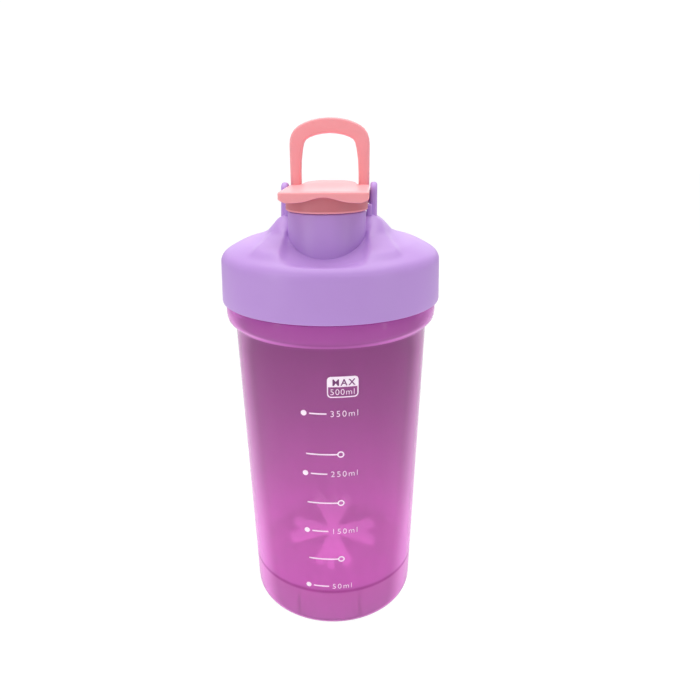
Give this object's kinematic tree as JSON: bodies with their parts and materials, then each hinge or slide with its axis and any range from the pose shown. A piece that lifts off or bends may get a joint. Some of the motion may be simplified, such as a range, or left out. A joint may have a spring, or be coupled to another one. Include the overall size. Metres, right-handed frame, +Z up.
{
  "type": "protein shaker bottle",
  "caption": "Tapered translucent shaker cup with a bowl floor, a screw lid with an off-centre spout, a flip cap, a folding carry loop and a loose mixer.",
  "frame": {"origin": "centre of the foot, on the surface that the bottle stands on", "axes": "+Z up along the cup's axis, -Y towards the spout, +X to the right seen from the spout's side"},
  "size_m": [0.0852, 0.0852, 0.2021],
  "materials": {
    "cup": "translucent polypropylene, satin",
    "ink": "screen-printed ink",
    "silicone": "soft silicone",
    "lid": "moulded polypropylene, satin",
    "pins": "ground stainless steel",
    "cap": "moulded polypropylene, satin",
    "mixer": "translucent polypropylene"
  },
  "bodies": {
    "cup": {"cup": "cup", "cup_thread": "cup", "volume_marks": "ink", "capacity_badge": "ink"},
    "sealing_ring": {"sealing_ring": "silicone"},
    "lid": {"lid": "lid", "lid_thread": "lid", "cap_pins": "pins", "loop_pins": "pins"},
    "flip_cap": {"flip_cap": "cap", "spout_plug": "silicone"},
    "carry_loop": {"carry_loop": "cap"},
    "mixer": {"mixer": "mixer"}
  },
  "joints": [
    {"name": "lid_rise", "type": "slide", "parent": "cup", "child": "sealing_ring", "axis": [0, 0, 1], "range_m": [0, 0.00584]},
    {"name": "lid_turn", "type": "hinge", "parent": "sealing_ring", "child": "lid", "pos_m": [0, 0, 0.14], "axis": [0, 0, 1], "range_deg": [0, 420]},
    {"name": "cap_flip", "type": "hinge", "parent": "lid", "child": "flip_cap", "pos_m": [0, 0, 0.176], "axis": [-1, 0, 0], "range_deg": [0, 90]},
    {"name": "loop_swing", "type": "hinge", "parent": "lid", "child": "carry_loop", "pos_m": [0, 0.0046, 0.1735], "axis": [-1, 0, 0], "range_deg": [0, 105]},
    {"name": "mixer_travel", "type": "slide", "parent": "cup", "child": "mixer", "axis": [0, 0, 1], "range_m": [0, 0.095]}
  ],
  "couplings": [
    {"joint": "lid_rise", "follows": "lid_turn", "m_per_rad": 0.00079577}
  ]
}
